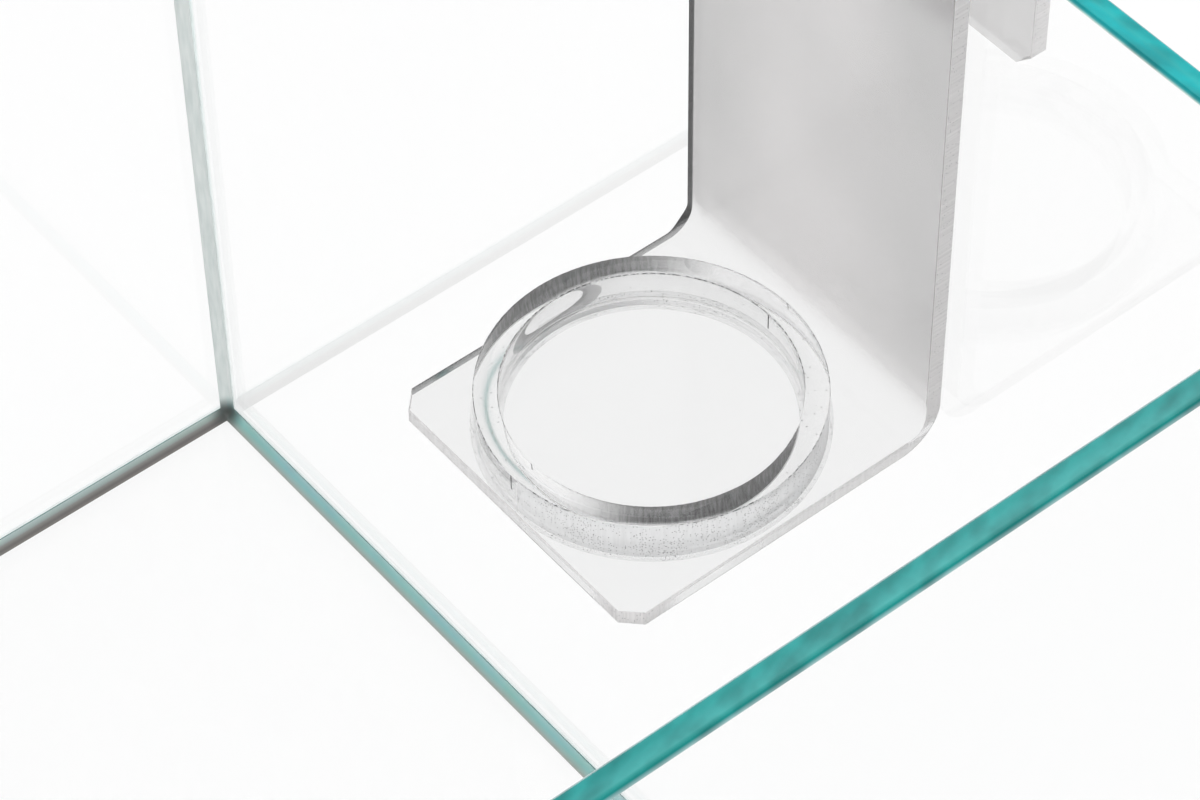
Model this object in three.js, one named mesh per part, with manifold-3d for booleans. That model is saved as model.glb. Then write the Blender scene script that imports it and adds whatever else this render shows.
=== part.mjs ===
// A rimless glass cube aquarium with a clear acrylic stand hung over the rim of its right wall.
// The stand is one heat-bent strip. Its foot carries a ring, in which a small cup or pot stands in the water.
// Millimetres, +Z up, -Y towards the front pane, +X towards the wall that carries the stand.
// The origin is the middle of the underside of the bottom pane, where the tank rests.

import * as THREE from "three";
import { mergeVertices } from "three/addons/utils/BufferGeometryUtils.js";
import Module from "manifold-3d";

const wasm = await Module();
wasm.setup();

// ---------- driving dimensions ----------

// The tank: four walls stand on the bottom pane, and the side walls fit between the front and the back.
const TANK_LENGTH = 400; // outside, along X
const TANK_DEPTH = 400; // outside, along Y
const TANK_HEIGHT = 400; // from the underside to the rim
const WALL_GLASS = 6; // thickness of the four walls
const BASE_GLASS = 6; // thickness of the bottom pane
const ARRIS = 0.75; // ground bevel along the edges of a pane

// The silicone: a film where two panes meet, and a bead in the inner corner.
const FILM = 0.5; // thickness of the film
const BEAD = 2.75; // width of the bead on each pane
const BEAD_SAG = 0.5; // how deep the tool hollows the face of a bead
const BEAD_STEPS = 6; // facets across the face of a bead
const BEAD_TOP_MARGIN = 2; // a corner bead ends this far under the rim
const BEAD_GAP = 0.3; // from a corner bead down to the beads along the floor

// The hanging stand: one heat-bent strip of clear acrylic.
const SHEET = 4; // thickness of the acrylic
const FOOT_DROP = 141; // from the rim down to the top of the foot
const HOOK_OPENING = 21.25; // between the facing sides of the long leg and the short leg
const SHORT_LEG_DROP = 49.5; // from the rim down to the free end of the short leg
const FOOT_BEND = 6; // inner radius of the bend between the foot and the long leg
const HOOK_BEND = 3; // inner radius of the two bends over the rim
const BEND_STEPS = 10; // facets in each bend
const CORNER_CUT = 4; // straight cut across each free corner of the strip
const STAND_CENTRE = -51.5; // where the stand hangs along the right wall
const STAND_GAP = 0.3; // from the long leg to the glass

// The ring: a slice of clear acrylic tube, cemented on the foot.
const RING_DIAMETER = 74.2; // outside
const RING_WALL = 5.25;
const RING_HEIGHT = 10;
const RING_SIDE_MARGIN = 1.65; // from the ring to the long edges of the strip
const RING_END_MARGIN = 0.3; // from the ring to the free end of the foot
const RING_LEG_GAP = 4.8; // from the ring to the face of the long leg
const RING_BREAK = 0.3; // broken edges at the top of the ring
const RING_SEGMENTS = 120;
const CEMENT = 0.25; // thickness of the cement under the ring
const CEMENT_INSET = 1.2; // the cement stops this far inside both faces of the ring's wall

// ---------- looks ----------

const GLASS_LOOK = { color: 0xdcefec, roughness: 0.03, metalness: 0 };
const SILICONE_LOOK = { color: 0xb9bdbb, roughness: 0.45, metalness: 0 };
const ACRYLIC_LOOK = { color: 0xececee, roughness: 0.08, metalness: 0 };
const CEMENT_LOOK = { color: 0xe2e3e4, roughness: 0.3, metalness: 0 };

// ---------- places that follow from the dimensions ----------

const innerX = TANK_LENGTH / 2 - WALL_GLASS;
const innerY = TANK_DEPTH / 2 - WALL_GLASS;
const wallFoot = BASE_GLASS + FILM;
const wallHeight = TANK_HEIGHT - wallFoot;
const stripWidth = RING_DIAMETER + 2 * RING_SIDE_MARGIN;
const footReach = SHEET + RING_LEG_GAP + RING_DIAMETER + RING_END_MARGIN;
const footTop = TANK_HEIGHT - FOOT_DROP;
const footEnd = innerX - STAND_GAP - footReach;
const legBack = innerX - STAND_GAP;
const shortLegInner = legBack + HOOK_OPENING;
const shortLegEnd = TANK_HEIGHT - SHORT_LEG_DROP;
// The bend over the rim starts level with the foot of the rim's bevel, so that it seats round the edge.
const hookUnderside = TANK_HEIGHT - ARRIS + HOOK_BEND;

// The four sides, each a number of quarter turns about Z from the front.
const SIDES = [
  { name: "front", quarters: 0, outside: TANK_LENGTH, inner: innerY, wallLength: TANK_LENGTH },
  { name: "right", quarters: 1, outside: TANK_DEPTH, inner: innerX, wallLength: 2 * (innerY - FILM) },
  { name: "back", quarters: 2, outside: TANK_LENGTH, inner: innerY, wallLength: TANK_LENGTH },
  { name: "left", quarters: 3, outside: TANK_DEPTH, inner: innerX, wallLength: 2 * (innerY - FILM) },
];

// ---------- helpers ----------

// A closed geometry as a manifold-3d solid.
function solid(geometry) {
  const bare = geometry.clone();
  bare.deleteAttribute("normal");
  bare.deleteAttribute("uv");
  const merged = mergeVertices(bare, 1e-4);
  return new wasm.Manifold(
    new wasm.Mesh({
      numProp: 3,
      vertProperties: new Float32Array(merged.attributes.position.array),
      triVerts: new Uint32Array(merged.index.array),
    }),
  );
}

// A manifold-3d solid as a geometry.
function geometryOf(body) {
  const { vertProperties, triVerts } = body.getMesh();
  const geometry = new THREE.BufferGeometry();
  geometry.setAttribute("position", new THREE.BufferAttribute(vertProperties, 3));
  geometry.setIndex(new THREE.BufferAttribute(triVerts, 1));
  geometry.computeVertexNormals();
  return geometry;
}

function mesh(name, geometry, look) {
  const made = new THREE.Mesh(geometry, new THREE.MeshStandardMaterial(look));
  made.name = name;
  return made;
}

// A closed outline of [x, y] points, extruded along +Z.
function prism(points, length) {
  const shape = new THREE.Shape(points.map(([x, y]) => new THREE.Vector2(x, y)));
  return new THREE.ExtrudeGeometry(shape, { depth: length, bevelEnabled: false });
}

// Points of an arc, both ends included, with angles in degrees.
function arc([centreX, centreY], radius, from, to) {
  return Array.from({ length: BEND_STEPS + 1 }, (_, i) => {
    const angle = THREE.MathUtils.degToRad(from + ((to - from) * i) / BEND_STEPS);
    return [centreX + radius * Math.cos(angle), centreY + radius * Math.sin(angle)];
  });
}

// Turns and moves a geometry: its own x and y axes go to the two given directions, and z follows.
function place(geometry, x, y, origin) {
  const xAxis = new THREE.Vector3(...x);
  const yAxis = new THREE.Vector3(...y);
  const zAxis = new THREE.Vector3().crossVectors(xAxis, yAxis);
  const matrix = new THREE.Matrix4().makeBasis(xAxis, yAxis, zAxis);
  return geometry.applyMatrix4(matrix.setPosition(...origin));
}

// ---------- the panes ----------

// A float glass pane with ground edges, centred in x and y, from z = 0 to its thickness.
function pane(width, height, thickness) {
  const w = width / 2 - ARRIS;
  const h = height / 2 - ARRIS;
  const corners = [[-w, -h], [w, -h], [w, h], [-w, h]];
  const shape = new THREE.Shape(corners.map(([x, y]) => new THREE.Vector2(x, y)));
  const extruded = new THREE.ExtrudeGeometry(shape, {
    depth: thickness - 2 * ARRIS,
    bevelEnabled: true,
    bevelThickness: ARRIS,
    bevelSize: ARRIS,
    bevelSegments: 1,
  });
  return extruded.translate(0, 0, ARRIS);
}

// A wall stands on the silicone film, with its inner face towards the middle of the tank.
function wall({ name, quarters, inner, wallLength }) {
  const upright = mesh(name + "_pane", pane(wallLength, wallHeight, WALL_GLASS), GLASS_LOOK);
  upright.rotation.x = Math.PI / 2;
  upright.position.set(0, -inner, wallFoot + wallHeight / 2);
  const side = new THREE.Group();
  side.rotation.z = (quarters * Math.PI) / 2;
  side.add(upright);
  return side;
}

// ---------- the silicone ----------

// A joint's section. A pane butts at x < 0, y > FILM against the pane below y = 0.
// The film fills the joint, and the bead fills the corner at x > 0 up to its hollow face.
function jointSection(bead) {
  const face = Array.from({ length: BEAD_STEPS + 1 }, (_, i) => {
    const t = i / BEAD_STEPS;
    const sag = (BEAD_SAG * Math.sin(Math.PI * t)) / Math.SQRT2;
    return [bead * (1 - t) - sag, (bead + FILM) * t - sag];
  });
  // The face stays clear of the panes, and ends on them.
  face[0] = [bead, 0];
  face[BEAD_STEPS] = [0, bead + FILM];
  return [[-WALL_GLASS, 0], ...face, [0, FILM + ARRIS], [-ARRIS, FILM], [-WALL_GLASS, FILM]];
}

// The silicone under one wall. Each end is drawn back by mitre times the distance from the outer face.
function floorBar({ quarters, inner }, bead, length, mitre) {
  const bar = prism(jointSection(bead), length);
  const position = bar.attributes.position;
  for (let i = 0; i < position.count; i += 1) {
    const back = mitre * (position.getX(i) + WALL_GLASS);
    position.setZ(i, position.getZ(i) === 0 ? back : length - back);
  }
  place(bar, [0, 1, 0], [0, 0, 1], [-length / 2, -inner, BASE_GLASS]);
  return bar.rotateZ((quarters * Math.PI) / 2);
}

// The silicone between a side wall and the front or back, with its foot cut to the beads on the floor.
function cornerPost(sideX, sideY, floorBeads) {
  const height = TANK_HEIGHT - BEAD_TOP_MARGIN - wallFoot;
  const centred = prism(jointSection(BEAD), height).translate(0, 0, -height / 2);
  const origin = [sideX * innerX, sideY * innerY, wallFoot + height / 2];
  const post = solid(place(centred, [-sideX, 0, 0], [0, -sideY, 0], origin));
  return geometryOf(floorBeads.reduce((left, bead) => left.subtract(bead), post));
}

function seams() {
  const floor = SIDES.map((side) =>
    mesh("floor_seam_" + side.name, floorBar(side, BEAD, side.outside, 1), SILICONE_LOOK),
  );
  const floorBeads = SIDES.map((side) =>
    solid(floorBar(side, BEAD + BEAD_GAP, side.outside - 2 * WALL_GLASS, 0)),
  );
  const posts = [];
  for (const [end, sideY] of [["front", -1], ["back", 1]]) {
    for (const [side, sideX] of [["left", -1], ["right", 1]]) {
      const post = cornerPost(sideX, sideY, floorBeads);
      posts.push(mesh("corner_seam_" + end + "_" + side, post, SILICONE_LOOK));
    }
  }
  return [...floor, ...posts];
}

// ---------- the hanging stand ----------

// The strip seen from its edge, with X across and Z up: foot, long leg, hook and short leg.
function stripProfile() {
  const footBend = [legBack - SHEET - FOOT_BEND, footTop + FOOT_BEND];
  const rimBend = [legBack + HOOK_BEND, hookUnderside - HOOK_BEND];
  const outerBend = [shortLegInner - HOOK_BEND, hookUnderside - HOOK_BEND];
  return [
    [footEnd, footTop],
    ...arc(footBend, FOOT_BEND, -90, 0),
    ...arc(rimBend, HOOK_BEND + SHEET, 180, 90),
    ...arc(outerBend, HOOK_BEND + SHEET, 90, 0),
    [shortLegInner + SHEET, shortLegEnd],
    [shortLegInner, shortLegEnd],
    ...arc(outerBend, HOOK_BEND, 0, 90),
    ...arc(rimBend, HOOK_BEND, 90, 180),
    ...arc(footBend, FOOT_BEND + SHEET, 0, -90),
    [footEnd, footTop - SHEET],
  ];
}

// A three-sided cutter that takes a straight cut across a corner. The corner is at the origin,
// inward and middle point from it along the strip and across the strip.
function cornerCutter(inward, middle, corner) {
  const past = CORNER_CUT / 4;
  const outline = [[-past, -past], [CORNER_CUT + past, -past], [-past, CORNER_CUT + past]];
  const through = 2 * SHEET;
  const cutter = prism(outline, through).translate(0, 0, -through / 2);
  return solid(place(cutter, inward, middle, corner));
}

function strip() {
  const half = stripWidth / 2;
  const start = [0, STAND_CENTRE + half, 0];
  let body = solid(place(prism(stripProfile(), stripWidth), [1, 0, 0], [0, 0, 1], start));
  for (const side of [-1, 1]) {
    const edge = STAND_CENTRE + side * half;
    const footCorner = [footEnd, edge, footTop - SHEET / 2];
    const legCorner = [shortLegInner + SHEET / 2, edge, shortLegEnd];
    body = body.subtract(cornerCutter([1, 0, 0], [0, -side, 0], footCorner));
    body = body.subtract(cornerCutter([0, 0, 1], [0, -side, 0], legCorner));
  }
  return mesh("hanging_stand", geometryOf(body), ACRYLIC_LOOK);
}

// A ring about the Z axis, from its section as [radius, height] points.
function revolved(section) {
  const profile = [...section, section[0]].map(([r, z]) => new THREE.Vector2(r, z));
  return new THREE.LatheGeometry(profile, RING_SEGMENTS).rotateX(Math.PI / 2);
}

function ring() {
  const outer = RING_DIAMETER / 2;
  const inner = outer - RING_WALL;
  const shoulder = RING_HEIGHT - RING_BREAK;
  const tube = revolved([
    [inner, 0],
    [outer, 0],
    [outer, shoulder],
    [outer - RING_BREAK, RING_HEIGHT],
    [inner + RING_BREAK, RING_HEIGHT],
    [inner, shoulder],
  ]);
  const cement = revolved([
    [inner + CEMENT_INSET, 0],
    [outer - CEMENT_INSET, 0],
    [outer - CEMENT_INSET, CEMENT],
    [inner + CEMENT_INSET, CEMENT],
  ]);
  const tubeMesh = mesh("cup_ring", tube, ACRYLIC_LOOK);
  tubeMesh.position.z = CEMENT;
  const seat = new THREE.Group();
  seat.position.set(footEnd + RING_END_MARGIN + outer, STAND_CENTRE, footTop);
  seat.add(mesh("ring_cement", cement, CEMENT_LOOK), tubeMesh);
  return seat;
}

// ---------- the assembly ----------

const tank = new THREE.Group();
tank.add(mesh("bottom_pane", pane(TANK_LENGTH, TANK_DEPTH, BASE_GLASS), GLASS_LOOK));
tank.add(...SIDES.map(wall), ...seams());

const stand = new THREE.Group();
stand.add(strip(), ring());

const aquarium = new THREE.Group();
aquarium.add(tank, stand);

export default aquarium;
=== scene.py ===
"""A rimless glass aquarium with a clear acrylic stand hung over its right wall."""

import math

import bmesh
import bpy
from mathutils import Matrix, Vector


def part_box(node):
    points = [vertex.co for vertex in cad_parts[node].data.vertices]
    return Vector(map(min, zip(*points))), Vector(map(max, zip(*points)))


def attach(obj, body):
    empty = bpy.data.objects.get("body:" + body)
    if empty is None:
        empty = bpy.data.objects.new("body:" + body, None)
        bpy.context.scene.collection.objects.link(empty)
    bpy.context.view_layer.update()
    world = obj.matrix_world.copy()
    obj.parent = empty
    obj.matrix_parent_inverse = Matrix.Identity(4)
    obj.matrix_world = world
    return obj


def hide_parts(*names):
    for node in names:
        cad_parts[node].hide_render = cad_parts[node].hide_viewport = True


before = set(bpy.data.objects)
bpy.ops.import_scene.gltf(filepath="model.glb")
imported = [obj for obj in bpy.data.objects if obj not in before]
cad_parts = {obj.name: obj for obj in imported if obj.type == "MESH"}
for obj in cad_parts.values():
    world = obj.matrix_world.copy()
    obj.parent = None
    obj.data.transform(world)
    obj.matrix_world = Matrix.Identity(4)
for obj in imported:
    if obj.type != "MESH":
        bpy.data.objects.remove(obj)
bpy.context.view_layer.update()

MM = 0.001


# ---------- sizes from the frame ----------

_, floor_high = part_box("bottom_pane")
right_low, right_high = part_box("right_pane")
_, front_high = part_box("front_pane")
seam_low, seam_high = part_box("corner_seam_back_right")
strip_low, strip_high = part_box("hanging_stand")
ring_low, ring_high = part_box("cup_ring")

OUTER = floor_high.x  # half the tank, outside
INNER_X = right_low.x  # inner face of a side wall
INNER_Y = -front_high.y  # inner face of the front and the back wall
FLOOR_TOP = floor_high.z
WALL_FOOT = right_low.z
RIM = right_high.z
BEAD = INNER_X - seam_low.x
BEAD_TOP = seam_high.z
FILM = WALL_FOOT - FLOOR_TOP

SHEET = 4.0 * MM  # thickness of the acrylic strip
FOOT_BEND = 6.0 * MM  # inner radius of the bend above the foot
HOOK_BEND = 3.0 * MM  # inner radius of the bends over the rim
CORNER_CUT = 4.0 * MM
SHORT_END = RIM - 49.5 * MM  # lower end of the short leg outside
LEG_GAP = 0.3 * MM  # between the long leg and the glass
SWELL = 0.5 * MM  # the inside of a hot bend swells sideways, and its outside draws in
EDGE_BREAK = 0.15 * MM  # how far the edges of the strip are broken

RING_X = (ring_low.x + ring_high.x) / 2
RING_Y = (ring_low.y + ring_high.y) / 2
RING_OUTER = (ring_high.x - ring_low.x) / 2
RING_WALL = 5.25 * MM
RING_BREAK = 0.16 * MM  # how far the edges of the ring are broken
RING_FOOT = ring_low.z
FOOT_TOP = strip_low.z + SHEET
FILLET = 2.0 * MM  # the cement that creeps up the wall of the ring
FILLET_REACH = 1.0 * MM

BOND = 0.03 * MM  # how far silicone and cement reach into what they are bonded to
STRUCK = 0.12 * MM  # the rounding that a blade leaves on the outer edge of a silicone film
CEMENT_BITE = 0.1 * MM  # how far a fillet reaches into the wall of the ring

NEAR = 0.1 * MM  # a point this close to an edge is on it
MERGE = 0.005 * MM  # points closer than this are one
BEND_STEPS = 20  # facets in a quarter turn of the strip
ROUND_STEPS = 240  # facets in the whole turn of the ring

GLASS_IOR = 1.52
ACRYLIC_IOR = 1.49
SILICONE_IOR = 1.41

# the order of the materials on a pane, on the strip and on the ring
FACE, EDGE, BONDED = range(3)
SHEET_FACE, CUT_EDGE, BROKEN_EDGE = range(3)
TUBE_END, TUBE_OUTSIDE, TUBE_INSIDE, TUBE_FOOT, TUBE_ARRIS = range(5)


# ---------- nodes and colours ----------


def srgb(code):
    """The linear colour, with alpha, of an sRGB hex code."""
    parts = [int(code[i : i + 2], 16) / 255 for i in (1, 3, 5)]
    linear = [c / 12.92 if c <= 0.04045 else ((c + 0.055) / 1.055) ** 2.4 for c in parts]
    return (*linear, 1.0)


def new_material(name):
    made = bpy.data.materials.new(name)
    made.use_nodes = True
    made.node_tree.nodes.clear()
    return made, made.node_tree


def add(tree, kind, settings=None, links=None):
    """Adds a shader node, with values for its sockets, properties or colour stops, and links into
    it, each from a socket or from a node's first output."""
    made = tree.nodes.new("ShaderNode" + kind)
    for key, value in (settings or {}).items():
        if key == "stops":
            elements = made.color_ramp.elements
            for i, (at, colour) in enumerate(value):
                stop = elements[i] if i < 2 else elements.new(at)
                stop.position, stop.color = at, srgb(colour)
        elif isinstance(key, int) or key in made.inputs:
            made.inputs[key].default_value = value
        else:
            setattr(made, key, value)
    for key, source in (links or {}).items():
        if isinstance(source, bpy.types.Node):
            source = source.outputs[0]
        tree.links.new(source, made.inputs[key])
    return made


def let_lamps_through(tree, shader, tint="#FFFFFF"):
    """Lamps shine through clear pieces, which leaves soft light instead of a hard shadow."""
    path = add(tree, "LightPath")
    clear = add(tree, "BsdfTransparent", {"Color": srgb(tint)})
    return add(tree, "MixShader", links={0: path.outputs["Is Shadow Ray"], 1: shader, 2: clear})


# ---------- materials ----------


def coordinates(tree):
    """The object's own coordinates, whole and as X, Y and Z."""
    place = add(tree, "TexCoord")
    apart = add(tree, "SeparateXYZ", links={0: place.outputs["Object"]})
    return place.outputs["Object"], apart.outputs


def float_glass():
    """Soda-lime float glass: fire-polished faces, clear to look through, with a trace of green.

    Fingers and wiping leave the gloss a little uneven, and floating leaves a very faint wave.
    """
    made, tree = new_material("soda_lime_float_glass")
    place, _ = coordinates(tree)
    wipe_marks_and_painted_light = add(tree, "TexNoise", {"Scale": 9.0, "Detail": 3.0}, {0: place})
    gloss = add(
        tree, "MapRange", {"From Min": 0.3, "From Max": 0.7, "To Min": 0.0, "To Max": 0.012},
        {"Value": wipe_marks_and_painted_light},
    )
    wave = add(tree, "TexNoise", {"Scale": 14.0, "Detail": 0.0}, {0: place})
    drawn = add(tree, "Bump", {"Strength": 0.02, "Distance": 0.5 * MM}, {"Height": wave})
    body = add(
        tree, "BsdfPrincipled",
        {"Base Color": srgb("#FEFEFE"), "IOR": GLASS_IOR, "Specular IOR Level": 0.15,
         "Specular Tint": (0.0, 0.0, 0.0, 1.0), "Transmission Weight": 1.0},
        {"Roughness": gloss, "Normal": drawn},
    )
    surface = let_lamps_through(tree, body)
    depth = add(tree, "VolumeAbsorption", {"Color": srgb("#9FEDE6"), "Density": 0.25})
    add(tree, "OutputMaterial", links={"Surface": surface, "Volume": depth})
    return made


def glass_edge(name, axis, along, outer, inner, stops):
    """The polished edge of a pane, painted with the green glow of light that has run the length of
    the glass.

    It is darkest along the arrises, and the belt leaves soft slanting clouds about 9 mm long.
    """
    made, tree = new_material(name)
    place, parts = coordinates(tree)
    across = add(tree, "MapRange", {"From Min": outer, "From Max": inner}, {"Value": parts[axis]})
    ramp = add(tree, "ValToRGB", {"stops": stops}, {0: across})
    long, wide, deep = 9.0 * MM, 4.0 * MM, 16.0 * MM
    stretch = {"X": (long, wide, deep), "Y": (wide, long, deep)}
    laid = add(
        tree, "Mapping",
        {"vector_type": "TEXTURE", "Scale": stretch[along],
         "Rotation": (0.0, 0.0, math.radians(20.0))},
        {"Vector": place},
    )
    cloud = add(tree, "TexNoise", {"Scale": 1.0, "Detail": 1.5, "Roughness": 0.5}, {0: laid})
    belt = add(
        tree, "MapRange", {"From Min": 0.36, "From Max": 0.62, "To Min": 0.76, "To Max": 1.08},
        {"Value": cloud},
    )
    mottle = add(tree, "TexNoise", {"Scale": 230.0, "Detail": 2.0, "Roughness": 0.6}, {0: place})
    grain = add(
        tree, "MapRange", {"From Min": 0.35, "From Max": 0.65, "To Min": 0.95, "To Max": 1.05},
        {"Value": mottle},
    )
    both = add(tree, "Math", {"operation": "MULTIPLY"}, {0: belt, 1: grain})
    clouded = add(tree, "VectorMath", {"operation": "SCALE"}, {0: ramp, "Scale": both})
    rough = add(tree, "MapRange", {"To Min": 0.10, "To Max": 0.24}, {"Value": cloud})
    body = add(
        tree, "BsdfPrincipled", {"IOR": GLASS_IOR, "Specular IOR Level": 0.15},
        {"Base Color": clouded, "Roughness": rough},
    )
    add(tree, "OutputMaterial", links={"Surface": body})
    return made


def bonded_glass():
    """A glass edge that silicone has wetted: light goes straight on, and only bubbles are left."""
    made, tree = new_material("silicone_wetted_glass_edge")
    place, _ = coordinates(tree)
    cloud = add(tree, "TexNoise", {"Scale": 180.0, "Detail": 2.0}, {0: place})
    cover = add(
        tree, "MapRange", {"From Min": 0.35, "From Max": 0.75, "To Min": 0.0, "To Max": 0.10},
        {"Value": cloud},
    )
    clear = add(tree, "BsdfTransparent", {"Color": srgb("#FDFEFE")})
    pale = add(tree, "BsdfDiffuse", {"Color": srgb("#EEF6F4"), "Roughness": 0.3})
    both = add(tree, "MixShader", links={0: cover, 1: clear, 2: pale})
    add(tree, "OutputMaterial", links={"Surface": both})
    return made


def clear_silicone():
    """Cured neutral silicone: pale and cloudy up the corners, where light comes through it, and
    darker towards the floor, painted with the green of the glass along the sides, taupe along the
    ends, and painted shade in the corners."""
    made, tree = new_material("cured_clear_silicone")
    place, parts = coordinates(tree)
    # a tooled bead is drawn out along its length, so its clouds are long
    drawn = add(tree, "Mapping", {"Scale": (1.0, 1.0, 0.12)}, {"Vector": place})
    cloud = add(tree, "TexNoise", {"Scale": 900.0, "Detail": 2.0}, {0: drawn})
    pale = add(tree, "ValToRGB", {"stops": [(0.3, "#DFE8E6"), (0.7, "#F0F6F4")]}, {0: cloud})
    sideways = add(tree, "Math", {"operation": "ABSOLUTE"}, {0: parts["X"]})
    lengthways = add(tree, "Math", {"operation": "ABSOLUTE"}, {0: parts["Y"]})
    height = add(
        tree, "MapRange", {"From Min": FLOOR_TOP, "From Max": FLOOR_TOP + BEAD},
        {"Value": parts["Z"]},
    )
    # darker towards the floor; the green of the glass is painted into the tone along the side walls
    ends = [
        (0.0, "#7C7875"), (0.12, "#6A6765"), (0.36, "#8C8A88"), (0.55, "#A2B3AF"), (1.0, "#C6D8D5")
    ]
    sides = [(0.0, "#A4A8A3"), (0.12, "#97B2AD"), (0.4, "#8DC2BF"), (1.0, "#ACD4D4")]
    end_tone = add(tree, "ValToRGB", {"stops": ends}, {0: height})
    side_tone = add(tree, "ValToRGB", {"stops": sides}, {0: height})
    along_side = add(tree, "Math", {"operation": "GREATER_THAN"}, {0: sideways, 1: lengthways})
    floor_tone = add(tree, "Mix", {"data_type": "RGBA"}, {0: along_side, 6: end_tone, 7: side_tone})
    # the painted green and blue of the glass edge shift along the floor every 15 mm or so
    shift = add(tree, "TexNoise", {"Scale": 65.0, "Detail": 2.0}, {0: place})
    hue = add(
        tree, "MapRange", {"From Min": 0.3, "From Max": 0.7, "To Min": 0.485, "To Max": 0.525},
        {"Value": shift},
    )
    shifted = add(tree, "HueSaturation", links={"Hue": hue, "Color": floor_tone.outputs[2]})
    rise = add(
        tree, "MapRange",
        {"interpolation_type": "SMOOTHSTEP", "From Min": FLOOR_TOP + 1.5 * MM,
         "From Max": FLOOR_TOP + 9.0 * MM},
        {"Value": parts["Z"]},
    )
    upright = add(tree, "Mix", {"data_type": "RGBA"}, {0: rise, 6: shifted, 7: pale})
    # painted shade: dark where the beads meet in the corners of the floor
    folded = add(tree, "CombineXYZ", links={0: sideways, 1: lengthways, 2: parts["Z"]})
    corner = (INNER_X - 1.0 * MM, INNER_Y - 1.0 * MM, FLOOR_TOP + 1.0 * MM)
    reach = add(tree, "VectorMath", {"operation": "DISTANCE", 1: corner}, {0: folded})
    corner_shade = add(
        tree, "MapRange",
        {"interpolation_type": "SMOOTHSTEP", "From Min": 0.5 * MM, "From Max": 7.5 * MM,
         "To Min": 1.0, "To Max": 0.0},
        {"Value": reach.outputs["Value"]},
    )
    tone = add(
        tree, "Mix", {"data_type": "RGBA", 7: srgb("#454A48")}, {0: corner_shade, 6: upright.outputs[2]}
    )
    ripple = add(tree, "Bump", {"Strength": 0.3, "Distance": 0.1 * MM}, {"Height": cloud})
    rough = add(tree, "MapRange", {"To Min": 0.28, "To Max": 0.42}, {"Value": cloud})
    body = add(
        tree, "BsdfPrincipled", {"IOR": SILICONE_IOR},
        {"Base Color": tone.outputs[2], "Roughness": rough, "Normal": ripple},
    )
    add(tree, "OutputMaterial", links={"Surface": body})
    return made


def bonded_film():
    """The silicone film in a joint: thin and clear, so that it is hardly seen in the glass."""
    made, tree = new_material("silicone_film_in_glass")
    place, _ = coordinates(tree)
    cloud = add(tree, "TexNoise", {"Scale": 150.0, "Detail": 2.0}, {0: place})
    cover = add(
        tree, "MapRange", {"From Min": 0.35, "From Max": 0.75, "To Min": 0.03, "To Max": 0.16},
        {"Value": cloud},
    )
    clear = add(tree, "BsdfTransparent", {"Color": srgb("#FBFDFD")})
    milky = add(
        tree, "BsdfPrincipled",
        {"Base Color": srgb("#E9F2F0"), "Roughness": 0.35, "IOR": SILICONE_IOR},
    )
    both = add(tree, "MixShader", links={0: cover, 1: clear, 2: milky})
    add(tree, "OutputMaterial", links={"Surface": both})
    return made


def leg_share(tree, height):
    """0 along the foot, rising through the bend to 1 up the legs."""
    settings = {
        "interpolation_type": "SMOOTHSTEP",
        "From Min": FOOT_TOP - 0.5 * MM,
        "From Max": FOOT_TOP + 12.0 * MM,
    }
    return add(tree, "MapRange", settings, {"Value": height})


def clear_acrylic():
    """Cast acrylic sheet: clear, a little rougher up the legs, with painted shade: the legs are
    painted greyer than the foot, as they take less light from above.

    The painted shade is lightest low down and along the middle of the leg, and darkest on the short
    leg outside.
    """
    made, tree = new_material("cast_acrylic_sheet")
    place, parts = coordinates(tree)
    share = leg_share(tree, parts["Z"])
    # painted light: the middle of the leg is painted lighter
    from_middle = add(
        tree, "Math", {"operation": "SUBTRACT", 1: (strip_low.y + strip_high.y) / 2},
        {0: parts["Y"]},
    )
    sideways = add(tree, "Math", {"operation": "ABSOLUTE"}, {0: from_middle})
    wipe_marks_and_painted_light = add(
        tree, "MapRange",
        {"interpolation_type": "SMOOTHSTEP", "From Min": 4.0 * MM, "From Max": 36.0 * MM,
         "To Min": 0.8, "To Max": 0.0},
        {"Value": sideways},
    )
    cloud = add(tree, "TexNoise", {"Scale": 30.0, "Detail": 1.0}, {0: place})
    drift = add(
        tree, "MapRange", {"From Min": 0.3, "From Max": 0.7, "To Min": -0.15, "To Max": 0.15},
        {"Value": cloud},
    )
    # painted light lower down, and painted shade on the short leg outside
    lower = add(
        tree, "MapRange", {"From Min": RIM, "From Max": FOOT_TOP, "To Min": -0.35, "To Max": 0.30},
        {"Value": parts["Z"]},
    )
    outside = add(tree, "Math", {"operation": "GREATER_THAN", 1: OUTER}, {0: parts["X"]})
    short_leg_shade = add(tree, "Math", {"operation": "MULTIPLY_ADD", 1: -0.7}, {0: outside, 2: lower})
    uneven = add(tree, "Math", {"operation": "ADD"}, {0: short_leg_shade, 1: drift})
    painted_leg_light = add(tree, "Math", {"operation": "ADD"}, {0: wipe_marks_and_painted_light, 1: uneven})
    # painted shade: the legs are painted greyer than the foot
    leg = add(tree, "ValToRGB", {"stops": [(0.0, "#DCDBDB"), (1.0, "#EFEDED")]}, {0: painted_leg_light})
    tone = add(tree, "Mix", {"data_type": "RGBA", 6: srgb("#F3F3F3")}, {0: share, 7: leg})
    rough = add(tree, "MapRange", {"To Min": 0.10, "To Max": 0.24}, {"Value": share})
    body = add(
        tree, "BsdfPrincipled",
        {"IOR": ACRYLIC_IOR, "Specular IOR Level": 0.15, "Specular Tint": (0.0, 0.0, 0.0, 1.0),
         "Transmission Weight": 1.0},
        {"Base Color": tone.outputs[2], "Roughness": rough},
    )
    surface = let_lamps_through(tree, body, "#F8F8F8")
    add(tree, "OutputMaterial", links={"Surface": surface})
    return made


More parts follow.
